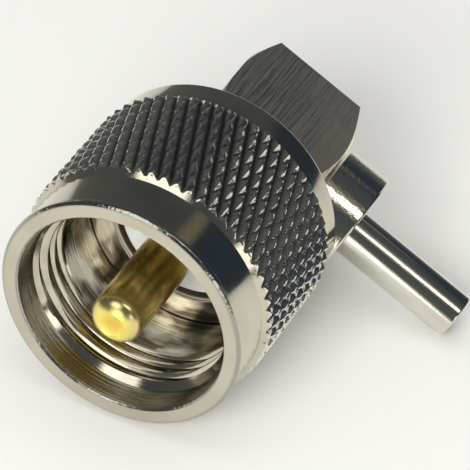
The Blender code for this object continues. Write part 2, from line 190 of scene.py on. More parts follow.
room_points = [(0, 0, ROOM_RADIUS)]
for ring in range(1, ROOM_RINGS + 1):
    rise = math.pi / 2 * (1 - ring / ROOM_RINGS)
    for sector in range(ROOM_SECTORS):
        turn = 2 * math.pi * sector / ROOM_SECTORS
        flat = ROOM_RADIUS * math.cos(rise)
        room_points.append((flat * math.cos(turn), flat * math.sin(turn), ROOM_RADIUS * math.sin(rise)))
room_faces = []
for sector in range(ROOM_SECTORS):
    after = (sector + 1) % ROOM_SECTORS
    room_faces.append((0, 1 + sector, 1 + after))
    for ring in range(ROOM_RINGS - 1):
        a = 1 + ring * ROOM_SECTORS
        b = a + ROOM_SECTORS
        room_faces.append((a + sector, b + sector, b + after, a + after))
room = stage_mesh("room", room_points, room_faces, room_material)
room.visible_camera = False
room.visible_diffuse = False
room.visible_shadow = False


def add_lamp(name, place, target, size, power):
    """A soft lamp that lights the floor and the plastic but doesn't show as a shape in the metal."""
    data = bpy.data.lights.new(name, "AREA")
    data.size = size
    data.energy = power
    lamp = bpy.data.objects.new(name, data)
    lamp.location = place
    lamp.rotation_euler = (Vector(target) - Vector(place)).to_track_quat("-Z", "Y").to_euler()
    lamp.visible_glossy = False
    lamp.visible_camera = False
    bpy.context.scene.collection.objects.link(lamp)


add_lamp("overhead_lamp", (0.03, -0.02, 0.35), (0, 0, 0), 0.3, 0.22)
add_lamp("front_lamp", (0.04, -0.43, 0.25), (0, 0, 0), 0.26, 2.1)


# Coupling nut
# One turned brass piece, nickel plated: a rolled diamond knurl between a smooth cone and a plain band,
# a 5/8-24 thread cut inside the mouth and a smooth relief bore behind it. It spins on the barrel.
NUT_LENGTH = 16.2
LIP_INNER = 8.374
LIP_OUTER = 9.6
LIP_CHAMFER = 0.22
LIP_REAR = 0.5
CONE_FRONT = 0.54
CONE_RADIUS = 9.2
KNURL_RADIUS = 10.0
KNURL_ROOT = 9.55
KNURL_TEETH = 60
KNURL_HALF_ROW = 1.4       # half a diamond along the nut
KNURL_STEPS = 6            # rows of points in that half
KNURL_PERIOD = 2 * KNURL_STEPS
RIDGE_SLOPE = 1.15         # above 1, the ridges get a narrow flat top
NOTCH_FLOOR = 0.36         # the notches across the ridges are this shallow
NOTCH_SLOPE = 0.95
KNURL_FRONT = 3.9
KNURL_START = 9.46
KNURL_REAR = 14.3
KNURL_CHAMFER = 0.55
CHAMFER_ROWS = 7
ROW_GAP = 0.03             # least room between the chamfer's rows and the rest
RUN_OUT_RISE = 0.18        # the grooves get this much shallower toward the cone
RUN_OUT_LENGTH = 1.2
MOUTH_EDGE = 8.37
MOUTH_RADIUS = 8.24
MOUTH_CHAMFER = 0.14
THREAD_MINOR = 7.4
THREAD_MAJOR = 7.94
THREAD_MOUTH = 8.04
THREAD_PITCH = 25.4 / 24
THREAD_CREST = 0.16        # shares of half a pitch
THREAD_FLANK = 0.62
THREAD_FRONT = 2.0
THREAD_REAR = 6.2
LEAD_IN_SLOPE = 0.85
THREAD_END_SLOPE = 1.8
THREAD_ROWS = 12
RELIEF = 7.94
RELIEF_REAR = 11.66
NUT_BORE = 7.6
NUT_BORE_FRONT = 12.0
GROOVE_FRONT = 13.3
GROOVE_REAR = 14.7
NUT_GROOVE = 8.4


def turned_point(y, radius, angle):
    return (radius * math.cos(angle), y, radius * math.sin(angle))


def turned_ring(y, radius, columns):
    return [turned_point(y, radius, 2 * math.pi * column / columns) for column in range(columns)]


def grid_faces(rows, columns, start=0, wrap=True, slant=None):
    """Quads over a grid of points in rows, or triangles where slant(row, column) picks the diagonal."""
    faces = []
    for row in range(rows - 1):
        for column in range(columns if wrap else columns - 1):
            after = (column + 1) % columns
            a = start + row * columns + column
            b = start + row * columns + after
            c = b + columns
            d = a + columns
            lean = slant(row, column) if slant else None
            if lean is None:
                faces.append((a, b, c, d))
            elif lean:
                faces.extend([(a, b, c), (a, c, d)])
            else:
                faces.extend([(a, b, d), (b, c, d)])
    return faces


def turned_surface(profile, columns, point=turned_point, closed=False):
    """Points and faces of a profile of (place, radius) turned about an axis."""
    outline = list(profile) + ([profile[0]] if closed else [])
    points = []
    for place, radius in outline:
        for column in range(columns):
            points.append(point(place, radius, 2 * math.pi * column / columns))
    return points, grid_faces(len(outline), columns)


def rounded(corners, steps=4):
    """A profile whose corners, given as (place, radius, rounding), are rounded off."""
    profile = []
    for index, (place, radius, rounding) in enumerate(corners):
        corner = Vector((place, radius))
        if not rounding:
            profile.append((place, radius))
            continue
        before = Vector(corners[index - 1][:2]) - corner
        after = Vector(corners[(index + 1) % len(corners)][:2]) - corner
        start = corner + before.normalized() * min(rounding, before.length * 0.49)
        end = corner + after.normalized() * min(rounding, after.length * 0.49)
        for step in range(steps + 1):
            t = step / steps
            profile.append(tuple(start * (1 - t) ** 2 + corner * (2 * t * (1 - t)) + end * t ** 2))
    return profile


def clean_mesh(mesh, distance):
    """Join the points that lie within the distance of each other, and turn all faces outward."""
    work = bmesh.new()
    work.from_mesh(mesh)
    bmesh.ops.remove_doubles(work, verts=work.verts, dist=distance)
    bmesh.ops.recalc_face_normals(work, faces=work.faces)
    work.to_mesh(mesh)
    work.free()


def finish_piece(name, points, faces, material, body, node, sharp=28.0):
    """Lay the piece down where its solid is, shade it, hang it on its body and hide the part it stands for.
    """
    mesh = bpy.data.meshes.new(name)
    mesh.from_pydata([LAY @ Vector(point) for point in points], [], faces)
    mesh.materials.append(material)
    clean_mesh(mesh, 0.000002)
    mesh.shade_smooth()
    mesh.set_sharp_from_angle(angle=math.radians(sharp))
    made = bpy.data.objects.new(name, mesh)
    bpy.context.scene.collection.objects.link(made)
    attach(made, body)
    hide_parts(node)


def knurl_height(column, row):
    """Share of the full tooth height: long ridges between deep grooves, notched by shallower ones."""
    from_deep = abs((column - row) % KNURL_PERIOD - KNURL_STEPS) / KNURL_STEPS
    from_notch = abs((column + row) % KNURL_PERIOD - KNURL_STEPS) / KNURL_STEPS
    return min(1.0, RIDGE_SLOPE * from_deep, NOTCH_FLOOR + NOTCH_SLOPE * from_notch)


def knurl_radius(column, row, y):
    """Radius of the knurl, whose grooves get shallower toward the cone and end in a chamfer."""
    root = KNURL_ROOT + RUN_OUT_RISE * max(0.0, 1.0 - (y - KNURL_FRONT) / RUN_OUT_LENGTH)
    tooth = root + (KNURL_RADIUS - root) * knurl_height(column, row)
    return min(tooth, KNURL_START + (y - KNURL_FRONT), max(KNURL_ROOT, KNURL_ROOT + KNURL_REAR - y))


def thread_radius(turns, y):
    """Radius of the bore where the thread is: crests, flanks and roots, cut off by the chamfers."""
    share = ((y - THREAD_FRONT) / THREAD_PITCH - turns) % 1.0
    flank = min(1.0, max(0.0, (abs(share - 0.5) * 2 - THREAD_CREST) / THREAD_FLANK))
    flank = flank * flank * (3 - 2 * flank)
    radius = THREAD_MINOR + (THREAD_MAJOR - THREAD_MINOR) * flank
    lead_in = THREAD_MOUTH - LEAD_IN_SLOPE * (y - THREAD_FRONT)
    thread_end = RELIEF - THREAD_END_SLOPE * (THREAD_REAR - y)
    return max(radius, lead_in, thread_end)


nut_columns = KNURL_TEETH * KNURL_PERIOD
lip_profile = rounded([
    (0.0, LIP_INNER, 0.0), (0.0, LIP_OUTER - LIP_CHAMFER, 0.05), (LIP_CHAMFER, LIP_OUTER, 0.05),
    (LIP_REAR, LIP_OUTER, 0.04), (CONE_FRONT, CONE_RADIUS, 0.04), (KNURL_FRONT, KNURL_START, 0.0),
])
band_profile = rounded([
    (KNURL_REAR, KNURL_ROOT, 0.0), (NUT_LENGTH, KNURL_ROOT, 0.22), (NUT_LENGTH, NUT_BORE, 0.1),
    (GROOVE_REAR, NUT_BORE, 0.0),
])
row_height = KNURL_HALF_ROW / KNURL_STEPS
knurl_rows = [KNURL_FRONT + KNURL_CHAMFER * i / CHAMFER_ROWS for i in range(1, CHAMFER_ROWS + 1)]
first_row = math.ceil((knurl_rows[-1] + ROW_GAP) / row_height)
last_row = math.floor((KNURL_REAR - KNURL_CHAMFER - ROW_GAP) / row_height)
knurl_rows += [row_height * i for i in range(first_row, last_row + 1)]
knurl_rows += [KNURL_REAR - KNURL_CHAMFER * i / CHAMFER_ROWS for i in range(CHAMFER_ROWS, 0, -1)]
points = []
for y, radius in lip_profile:
    points += turned_ring(y, radius, nut_columns)
for y in knurl_rows:
    for column in range(nut_columns):
        radius = knurl_radius(column, y / row_height, y)
        points.append(turned_point(y, radius, 2 * math.pi * column / nut_columns))
for y, radius in band_profile:
    points += turned_ring(y, radius, nut_columns)


def knurl_slant(row, column):
    """Which way a square of the lattice is split, so that its split runs along the groove beside it."""
    inside = row - len(lip_profile)
    if inside < 0 or inside >= len(knurl_rows) - 1:
        return None
    middle = (knurl_rows[inside] + knurl_rows[inside + 1]) / 2 / row_height
    one = abs((column + 0.5 + middle) % KNURL_PERIOD - KNURL_STEPS)
    other = abs((column + 0.5 - middle) % KNURL_PERIOD - KNURL_STEPS)
    return one > other


outside_rows = len(lip_profile) + len(knurl_rows) + len(band_profile)
faces = grid_faces(outside_rows, nut_columns, slant=knurl_slant)

bore_columns = nut_columns // 2
mouth_profile = rounded([
    (0.0, MOUTH_EDGE, 0.0), (MOUTH_CHAMFER, MOUTH_RADIUS, 0.05), (THREAD_FRONT, THREAD_MOUTH, 0.0),
])
relief_profile = rounded([
    (THREAD_REAR, RELIEF, 0.0), (RELIEF_REAR, RELIEF, 0.1), (NUT_BORE_FRONT, NUT_BORE, 0.1),
    (GROOVE_FRONT, NUT_BORE, 0.0), (GROOVE_FRONT, NUT_GROOVE, 0.0), (GROOVE_REAR, NUT_GROOVE, 0.0),
    (GROOVE_REAR, NUT_BORE, 0.0),
])
for profile in (mouth_profile, relief_profile):
    start = len(points)
    more_points, more_faces = turned_surface(profile, bore_columns)
    points += more_points
    faces += [tuple(start + corner for corner in face) for face in more_faces]

# The thread is one long strip, a pitch wide, that winds round the bore like the real one.
thread_turns = math.ceil((THREAD_REAR - THREAD_FRONT) / THREAD_PITCH) + 1
start = len(points)
thread_columns = thread_turns * bore_columns + 1
for row in range(THREAD_ROWS + 1):
    for column in range(thread_columns):
        turns = column / bore_columns - 1
        y = THREAD_FRONT + THREAD_PITCH * (turns + row / THREAD_ROWS)
        y = min(max(y, THREAD_FRONT), THREAD_REAR)
        points.append(turned_point(y, thread_radius(turns, y), 2 * math.pi * turns))
faces += grid_faces(THREAD_ROWS + 1, thread_columns, start=start, wrap=False)


def math_node(nodes, links, operation, *values):
    """One step of arithmetic on sockets and numbers, giving back its output socket."""
    made = nodes.new("ShaderNodeMath")
    made.operation = operation
    for index, value in enumerate(values):
        if isinstance(value, bpy.types.NodeSocket):
            links.new(value, made.inputs[index])
        else:
            made.inputs[index].default_value = value
    return made.outputs["Value"]


def add_noise(nodes, links, place, scale, detail=2.0):
    """Cloudy noise over the place, finer with a higher scale."""
    made = nodes.new("ShaderNodeTexNoise")
    made.inputs["Scale"].default_value = scale
    made.inputs["Detail"].default_value = detail
    links.new(place, made.inputs["Vector"])
    return made


def new_group(name, inputs, outputs):
    """An empty shader node group with its sockets."""
    group = bpy.data.node_groups.new(name, "ShaderNodeTree")
    for label, kind, value in inputs:
        socket = group.interface.new_socket(label, in_out="INPUT", socket_type=kind)
        socket.default_value = value
    for label, kind in outputs:
        group.interface.new_socket(label, in_out="OUTPUT", socket_type=kind)
    return group


# The plug's own directions, for every finish that follows its turning or its length.
directions = new_group(
    "plug_directions",
    [],
    [
        ("Along Plug", "NodeSocketFloat"),
        ("Plug Radius", "NodeSocketFloat"),
        ("Plug Turn", "NodeSocketFloat"),
        ("Along Stem", "NodeSocketFloat"),
        ("Stem Radius", "NodeSocketFloat"),
        ("Stem Turn", "NodeSocketFloat"),
        ("Place", "NodeSocketVector"),
    ],
)
nodes = directions.nodes
links = directions.links
group_out = nodes.new("NodeGroupOutput")
here = nodes.new("ShaderNodeTexCoord")
from_mouth = nodes.new("ShaderNodeVectorMath")
from_mouth.operation = "SUBTRACT"
from_mouth.inputs[1].default_value = MOUTH_CENTRE
links.new(here.outputs["Object"], from_mouth.inputs[0])
unrolled = nodes.new("ShaderNodeVectorRotate")
unrolled.rotation_type = "Y_AXIS"
unrolled.inputs["Angle"].default_value = -ROLL
links.new(from_mouth.outputs["Vector"], unrolled.inputs["Vector"])
in_mm = nodes.new("ShaderNodeVectorMath")
in_mm.operation = "SCALE"
in_mm.inputs["Scale"].default_value = 1 / MM
links.new(unrolled.outputs["Vector"], in_mm.inputs[0])
axes = nodes.new("ShaderNodeSeparateXYZ")
links.new(in_mm.outputs["Vector"], axes.inputs["Vector"])
across = math_node(nodes, links, "SUBTRACT", axes.outputs["Y"], STEM_AXIS_Y)
for about, first in (("Plug", axes.outputs["X"]), ("Stem", across)):
    second = axes.outputs["Z"]
    first_square = math_node(nodes, links, "MULTIPLY", first, first)
    second_square = math_node(nodes, links, "MULTIPLY", second, second)
    squares = math_node(nodes, links, "ADD", first_square, second_square)
    links.new(math_node(nodes, links, "SQRT", squares), group_out.inputs[about + " Radius"])
    links.new(math_node(nodes, links, "ARCTAN2", second, first), group_out.inputs[about + " Turn"])
links.new(axes.outputs["Y"], group_out.inputs["Along Plug"])
links.new(axes.outputs["X"], group_out.inputs["Along Stem"])
links.new(in_mm.outputs["Vector"], group_out.inputs["Place"])


# Fine rings that a lathe tool leaves: they run round the piece and change along it. The patches are
# wider clouds, drawn out the same way.
RINGS_PER_MM = 6.0
PATCHES_PER_MM = 0.25
rings = new_group(
    "tool_rings",
    [
        ("Along", "NodeSocketFloat", 0.0),
        ("Turn", "NodeSocketFloat", 0.0),
        ("Per Millimetre", "NodeSocketFloat", RINGS_PER_MM),
    ],
    [("Height", "NodeSocketFloat"), ("Patches", "NodeSocketFloat")],
)
nodes = rings.nodes
links = rings.links
group_in = nodes.new("NodeGroupInput")
group_out = nodes.new("NodeGroupOutput")
for label, per_mm, scale, detail in (
    ("Height", group_in.outputs["Per Millimetre"], 1.0, 3.0),
    ("Patches", PATCHES_PER_MM, 2.2, 2.0),
):
    place = nodes.new("ShaderNodeCombineXYZ")
    links.new(math_node(nodes, links, "MULTIPLY", group_in.outputs["Along"], per_mm), place.inputs["X"])
    links.new(math_node(nodes, links, "SINE", group_in.outputs["Turn"]), place.inputs["Y"])
    links.new(math_node(nodes, links, "COSINE", group_in.outputs["Turn"]), place.inputs["Z"])
    noise = add_noise(nodes, links, place.outputs["Vector"], scale, detail)
    links.new(noise.outputs["Fac"], group_out.inputs[label])


def place_group(nodes, group):
    made = nodes.new("ShaderNodeGroup")
    made.node_tree = group
    return made


def place_rings(nodes, links, along, turn, per_mm):
    """The plug's directions, and the tool rings that run round one of them."""
    where = place_group(nodes, directions)
    marks = place_group(nodes, rings)
    marks.inputs["Per Millimetre"].default_value = per_mm
    links.new(where.outputs[along], marks.inputs["Along"])
    links.new(where.outputs[turn], marks.inputs["Turn"])
    return where, marks


def mix_colours(nodes, links, factor, low, high):
    """The low colour where the factor is 0 and the high one where it is 1."""
    made = nodes.new("ShaderNodeMix")
    made.data_type = "RGBA"
    links.new(factor, made.inputs["Factor"])
    for socket, value in (("A", low), ("B", high)):
        if isinstance(value, bpy.types.NodeSocket):
            links.new(value, made.inputs[socket])
        else:
            made.inputs[socket].default_value = (*value, 1.0)
    return made.outputs["Result"]


def spread(nodes, links, value, low, high, new_low=0.0, new_high=1.0):
    """The value carried from low..high to new_low..new_high, and held at those ends."""
    made = nodes.new("ShaderNodeMapRange")
    made.inputs["From Min"].default_value = low
    made.inputs["From Max"].default_value = high
    made.inputs["To Min"].default_value = new_low
    made.inputs["To Max"].default_value = new_high
    links.new(value, made.inputs["Value"])
    return made.outputs["Result"]


def add_bump(nodes, links, height, distance, under=None):
    """Relief of the height, in metres, on top of the normal in the socket under."""
    made = nodes.new("ShaderNodeBump")
    made.inputs["Distance"].default_value = distance
    links.new(height, made.inputs["Height"])
    if under is not None:
        links.new(under, made.inputs["Normal"])
    return made.outputs["Normal"]


# Tones, roughness and relief of turned plated metal in different places; bore and knurl tones are painted
# light.
RING_RELIEF = 0.0000006
# The next two colours are painted reflections: dark brown and cream patches in the bore behind the thread.
BORE_PAINTED_DARK = (0.13, 0.10, 0.07)
BORE_PAINTED_CREAM = (0.94, 0.88, 0.75)
# A lighter nickel for the bore before the thread, as a painted reflection.
MOUTH_PAINTED_REFLECTION = (0.80, 0.76, 0.66)
MOUTH_ROUGHNESS = 0.08
RELIEF_RINGS = 22.0
MOUTH_RINGS = 60.0
# The knurl's two tones: painted shade in the grooves and a painted highlight on the teeth.
GROOVE_PAINTED_SHADE = (0.33, 0.32, 0.29)
TOOTH_PAINTED_HIGHLIGHT = (0.80, 0.77, 0.69)
ROLLED_ROUGHNESS = 0.04
DENTS = 34.0


def turned_metal(name, about, colour, worn, roughness, peel=0.0, rolled=None, bored=None):
    """Plated metal turned in a lathe about the plug or the stem: rings, cloudy patches and orange peel.

    rolled marks a knurl and knocked edges, which are rougher and dented and take the knurl's painted shade
    and painted highlight. bored marks two places in a bore: behind a thread, with painted dark brown and
    cream reflections and coarse rings, and before the thread, with a lighter nickel as a painted reflection.
    """
    made, nodes, links, shader = new_material(name)
    where, marks = place_rings(nodes, links, "Along " + about, about + " Turn", RINGS_PER_MM)
    height = marks.outputs["Height"]
    patches = marks.outputs["Patches"]
    speck = add_noise(nodes, links, where.outputs["Place"], 7.0, 3.0).outputs["Fac"]
    grain = speck
    tone = mix_colours(nodes, links, spread(nodes, links, patches, 0.35, 0.7), colour, worn)
    speckled = spread(nodes, links, speck, 0.3, 0.7, -0.03, 0.04)
    patchy = spread(nodes, links, patches, 0.3, 0.7, roughness * 0.8, roughness * 1.3)
    rough = math_node(nodes, links, "ADD", speckled, patchy)
    if bored:
        behind_thread, before_thread = bored(nodes, links, where)
        # Painted reflections behind the thread: dark brown and cream patches, following the tool rings.
        reflection_patches = spread(nodes, links, patches, 0.44, 0.56)
        bore_painted_reflections = mix_colours(nodes, links, reflection_patches, BORE_PAINTED_DARK, BORE_PAINTED_CREAM)
        ringed = spread(nodes, links, height, 0.3, 0.6, 0.5, 1.0)
        bore_reflection_mask = math_node(nodes, links, "MULTIPLY", behind_thread, ringed)
        tone = mix_colours(nodes, links, bore_reflection_mask, tone, bore_painted_reflections)
        # Before the thread the nickel is lighter: a painted reflection.
        tone = mix_colours(nodes, links, before_thread, tone, MOUTH_PAINTED_REFLECTION)
        coarse = spread(nodes, links, behind_thread, 0.0, 1.0, 1.0, RELIEF_RINGS)
        coarser = spread(nodes, links, before_thread, 0.0, 1.0, 0.0, MOUTH_RINGS)
        ring_height = math_node(nodes, links, "ADD", coarse, coarser)
        height = math_node(nodes, links, "MULTIPLY", height, ring_height)
        rougher = math_node(nodes, links, "MULTIPLY", before_thread, MOUTH_ROUGHNESS)
        rough = math_node(nodes, links, "ADD", rough, rougher)
    if rolled:
        on_knurl = rolled(nodes, links, where)
        radius = where.outputs["Plug Radius"]
        # Painted shade in the knurl's grooves and a painted highlight on its teeth; the lip's edges take it
        # too.
        out_of_groove = spread(nodes, links, radius, KNURL_ROOT + 0.04, KNURL_ROOT + 0.30)
        knurl_painted_light = mix_colours(nodes, links, out_of_groove, GROOVE_PAINTED_SHADE, TOOTH_PAINTED_HIGHLIGHT)
        tone = mix_colours(nodes, links, on_knurl, tone, knurl_painted_light)
        rougher = math_node(nodes, links, "MULTIPLY", on_knurl, ROLLED_ROUGHNESS)
        rough = math_node(nodes, links, "ADD", rough, rougher)
        dents = add_noise(nodes, links, where.outputs["Place"], 2.6).outputs["Fac"]
        dent_depth = spread(nodes, links, on_knurl, 0.0, 1.0, 0.0, DENTS)
        dented = math_node(nodes, links, "MULTIPLY", dents, dent_depth)
        grain = math_node(nodes, links, "ADD", grain, dented)
    normal = add_bump(nodes, links, height, RING_RELIEF)
    if peel:
        normal = add_bump(nodes, links, grain, peel, normal)
    links.new(tone, shader.inputs["Base Color"])
    links.new(rough, shader.inputs["Roughness"])
    shader.inputs["Metallic"].default_value = 1.0
    links.new(normal, shader.inputs["Normal"])
    return made


def on_the_knurl(nodes, links, where):
    """The knurl, between the cone and the band, and the knocked edges of the lip."""
    along = where.outputs["Along Plug"]
    radius = where.outputs["Plug Radius"]
    outside = spread(nodes, links, radius, KNURL_START - 0.06, KNURL_START + 0.04)
    behind_cone = spread(nodes, links, along, KNURL_FRONT + 0.35, KNURL_FRONT + 0.5)
    before_band = spread(nodes, links, along, KNURL_REAR, KNURL_REAR - 0.1)
    between = math_node(nodes, links, "MULTIPLY", outside, before_band)
    knurl = math_node(nodes, links, "MULTIPLY", behind_cone, between)
    outer_edge = spread(nodes, links, radius, LIP_OUTER - 0.34, LIP_OUTER - 0.2)
    inner_edge = spread(nodes, links, radius, MOUTH_EDGE + 0.07, MOUTH_EDGE - 0.01)
    either_edge = math_node(nodes, links, "MAXIMUM", outer_edge, inner_edge)
    on_lip = spread(nodes, links, along, 0.3, 0.16, 0.0, 0.8)
    edges = math_node(nodes, links, "MULTIPLY", either_edge, on_lip)
    return math_node(nodes, links, "MAXIMUM", knurl, edges)


def inside_the_nut(nodes, links, where):
    """The bore behind the thread, with the thread itself a little, and the bore before the thread."""
    along = where.outputs["Along Plug"]
    inside = spread(nodes, links, where.outputs["Plug Radius"], MOUTH_RADIUS + 0.1, MOUTH_RADIUS)
    behind_thread = spread(nodes, links, along, THREAD_REAR - 0.4, THREAD_REAR + 0.1, 0.2, 1.0)
    before_thread = spread(nodes, links, along, THREAD_FRONT, THREAD_FRONT - 0.2)
    behind = math_node(nodes, links, "MULTIPLY", inside, behind_thread)
    before = math_node(nodes, links, "MULTIPLY", inside, before_thread)
    return behind, before


NICKEL = (0.60, 0.565, 0.47)
NICKEL_WORN = (0.54, 0.50, 0.41)
nut_nickel = turned_metal(
    "nut_nickel", "Plug", NICKEL, NICKEL_WORN, 0.10, peel=0.000002,
    rolled=on_the_knurl, bored=inside_the_nut,
)
finish_piece(
    "coupling_nut_plated", points, faces, nut_nickel,
    "coupling_nut_body", "coupling_nut", sharp=24.0,
)


# Retaining ring
# A flat split ring of spring bronze. It sits half in the barrel's groove and half in the nut's, so the
# nut can spin but not come off, and it hardly shows.
RING_FRONT = 13.6
RING_REAR = 14.4
RING_INNER = 6.75
RING_OUTER = 8.1
RING_SPLIT = math.radians(23.4)
RING_STEPS = 90
RING_CORNERS = [
    (RING_REAR, RING_INNER), (RING_REAR, RING_OUTER), (RING_FRONT, RING_OUTER), (RING_FRONT, RING_INNER),
]
points = []
for y, radius in RING_CORNERS:
    for step in range(RING_STEPS + 1):
        turn = math.pi / 2 + RING_SPLIT / 2 + (2 * math.pi - RING_SPLIT) * step / RING_STEPS
        points.append(turned_point(y, radius, turn))
points += points[:RING_STEPS + 1]
faces = grid_faces(len(RING_CORNERS) + 1, RING_STEPS + 1, wrap=False)
for end in (0, RING_STEPS):
    faces.append(tuple(row * (RING_STEPS + 1) + end for row in range(len(RING_CORNERS))))
bronze = turned_metal("spring_bronze", "Plug", (0.62, 0.44, 0.26), (0.50, 0.34, 0.20), 0.3)
finish_piece(
    "retaining_ring_bronze", points, faces, bronze, "plug_body", "retaining_ring"
)


# Front barrel
# The plug's outer contact, turned from brass and nickel plated. Its bright rim is what the jack seats on,
# and its spigot is pressed into the elbow.
BARREL = 7.3
BARREL_RIM = 7.92
RIM_REAR = 11.5
BARREL_FRONT = 10.5
BARREL_REAR = 16.2
BARREL_BORE = 5.85
BARREL_FLOOR = 14.9
BARREL_GROOVE = 6.45
SPIGOT = 3.6
SPIGOT_BORE = 3.0
SPIGOT_END = 18.8
barrel_profile = rounded([
    (SPIGOT_END, SPIGOT_BORE, 0.0), (SPIGOT_END, SPIGOT, 0.06), (BARREL_REAR, SPIGOT, 0.0),
    (BARREL_REAR, BARREL, 0.1), (GROOVE_REAR, BARREL, 0.0), (GROOVE_REAR, BARREL_GROOVE, 0.0),
    (GROOVE_FRONT, BARREL_GROOVE, 0.0), (GROOVE_FRONT, BARREL, 0.0), (RIM_REAR, BARREL, 0.0),
    (RIM_REAR, BARREL_RIM, 0.05), (BARREL_FRONT, BARREL_RIM, 0.1), (BARREL_FRONT, BARREL_BORE, 0.15),
    (BARREL_FLOOR, BARREL_BORE, 0.0), (BARREL_FLOOR, SPIGOT_BORE, 0.0),
])
barrel_nickel = turned_metal("barrel_nickel", "Plug", NICKEL, NICKEL_WORN, 0.14)
points, faces = turned_surface(barrel_profile, 180, closed=True)
finish_piece(
    "front_barrel_plated", points, faces, barrel_nickel, "plug_body", "front_barrel"
)


# Front insulator
# A bead turned from white PTFE. It is pushed into the barrel and holds the pin in the middle of it.
BEAD = 5.55
BEAD_FRONT = 11.1
BEAD_SHOULDER = 14.6
BEAD_TAIL = 2.7
PIN_HOLE = 2.28
PIN_STOP = 13.5
TAIL_HOLE = 1.65
ptfe, nodes, links, shader = new_material("turned_ptfe")
where, marks = place_rings(nodes, links, "Plug Radius", "Plug Turn", 1.0)
cloudy = spread(nodes, links, marks.outputs["Patches"], 0.3, 0.7)
white = mix_colours(nodes, links, cloudy, (0.93, 0.93, 0.91), (0.88, 0.88, 0.85))
links.new(white, shader.inputs["Base Color"])
shader.inputs["Roughness"].default_value = 0.42
shader.inputs["Subsurface Weight"].default_value = 0.25
shader.inputs["Subsurface Scale"].default_value = 0.0006
links.new(add_bump(nodes, links, marks.outputs["Height"], 0.00001), shader.inputs["Normal"])

bead_profile = rounded([
    (SPIGOT_END, TAIL_HOLE, 0.0), (SPIGOT_END, BEAD_TAIL, 0.06), (BEAD_SHOULDER, BEAD_TAIL, 0.0),
    (BEAD_SHOULDER, BEAD, 0.06), (BEAD_FRONT, BEAD, 0.06), (BEAD_FRONT, PIN_HOLE, 0.06),
    (PIN_STOP, PIN_HOLE, 0.0), (PIN_STOP, TAIL_HOLE, 0.0),
])
points, faces = turned_surface(bead_profile, 120, closed=True)
finish_piece("front_insulator_ptfe", points, faces, ptfe, "plug_body", "front_insulator")


# Rear insulator
# A disc of the same white PTFE. It lies in the elbow's chamber behind the solder joint, under the cap.
DISC = 4.1
DISC_FRONT = 25.15
DISC_REAR = 26.55
disc_profile = rounded([
    (DISC_REAR, 0.0, 0.0), (DISC_REAR, DISC, 0.06), (DISC_FRONT, DISC, 0.06), (DISC_FRONT, 0.0, 0.0),
])
points, faces = turned_surface(disc_profile, 96)
finish_piece("rear_insulator_ptfe", points, faces, ptfe, "plug_body", "rear_insulator")


# Centre pin
# A solid turned pin, gold plated, with a domed tip. Its thin tail reaches into the elbow, where a slot
# takes the core of the cable that is soldered to it.
PIN = 1.98
PIN_TIP = -1.37
PIN_DOME = 1.2
PIN_SHOULDER = 13.2
DOME_STEPS = 20
DOME_DISH = 13
DISH_DEPTH = 0.24
DISH_STEPS = 8
TAIL = 1.35
TAIL_END = 23.35
TAIL_STEPS = 24
SLOT_HALF = 0.44
SLOT_FLOOR = 21.05
# The tip's lemon golds are a painted highlight that fades at the rim; its orange middle is a painted
# reflection.
TIP_PAINTED_HIGHLIGHT = (1.0, 0.91, 0.27)
TIP_PAINTED_HIGHLIGHT_DEEP = (0.92, 0.72, 0.15)
TIP_PAINTED_REFLECTION = (0.88, 0.62, 0.12)
TIP_EDGE = (0.78, 0.66, 0.30)
SIDE_GOLD = (0.78, 0.62, 0.20)
SIDE_DARK = (0.42, 0.30, 0.10)
pin_profile = [(SLOT_FLOOR, 0.0), (SLOT_FLOOR, TAIL), (PIN_SHOULDER, TAIL), (PIN_SHOULDER, PIN)]
for step in range(DOME_DISH + 1):
    turn = math.pi / 2 * step / DOME_STEPS
    pin_profile.append((PIN_TIP + PIN_DOME * (1 - math.sin(turn)), PIN * math.cos(turn)))
dish_rim, dish_radius = pin_profile[-1]
for step in range(DISH_STEPS - 1, -1, -1):
    share = step / DISH_STEPS
    pin_profile.append((dish_rim + DISH_DEPTH * (1 - share ** 2), dish_radius * share))
points, faces = turned_surface(pin_profile, 96)
half_turn = math.asin(SLOT_HALF / TAIL)
for side in (0, math.pi):
    start = len(points)
    arc = [side + half_turn + (math.pi - 2 * half_turn) * i / TAIL_STEPS for i in range(TAIL_STEPS + 1)]
    for y in (SLOT_FLOOR, TAIL_END):
        points += [turned_point(y, TAIL, turn) for turn in arc]
    faces += grid_faces(2, len(arc), start=start, wrap=False)
    end = start + len(arc)
    faces.append(tuple(range(end, len(points))))
    faces.append((start, end - 1, len(points) - 1, end))

gold, nodes, links, shader = new_material("pin_gold")
where, marks = place_rings(nodes, links, "Along Plug", "Plug Turn", 3.0)
radius = where.outputs["Plug Radius"]
cloud = add_noise(nodes, links, where.outputs["Place"], 0.55, 3.0).outputs["Fac"]
cloudy = spread(nodes, links, cloud, 0.35, 0.68)
# Painted highlight on the tip, with a painted reflection in its middle.
tip_painted_light = mix_colours(nodes, links, cloudy, TIP_PAINTED_HIGHLIGHT, TIP_PAINTED_HIGHLIGHT_DEEP)
tip_painted_light = mix_colours(nodes, links, spread(nodes, links, radius, 0.3, 0.85), TIP_PAINTED_REFLECTION, tip_painted_light)
tip_painted_light = mix_colours(nodes, links, spread(nodes, links, radius, 1.2, 1.6), tip_painted_light, TIP_EDGE)
side_gold = mix_colours(nodes, links, cloudy, SIDE_GOLD, SIDE_DARK)
on_side = spread(nodes, links, where.outputs["Along Plug"], PIN_TIP + 0.8, PIN_TIP + PIN_DOME)
links.new(mix_colours(nodes, links, on_side, tip_painted_light, side_gold), shader.inputs["Base Color"])
cloud_rough = spread(nodes, links, cloud, 0.3, 0.7, 0.14, 0.3)
tip_rough = spread(nodes, links, on_side, 0.0, 1.0, 0.08, 0.0)
links.new(math_node(nodes, links, "ADD", cloud_rough, tip_rough), shader.inputs["Roughness"])
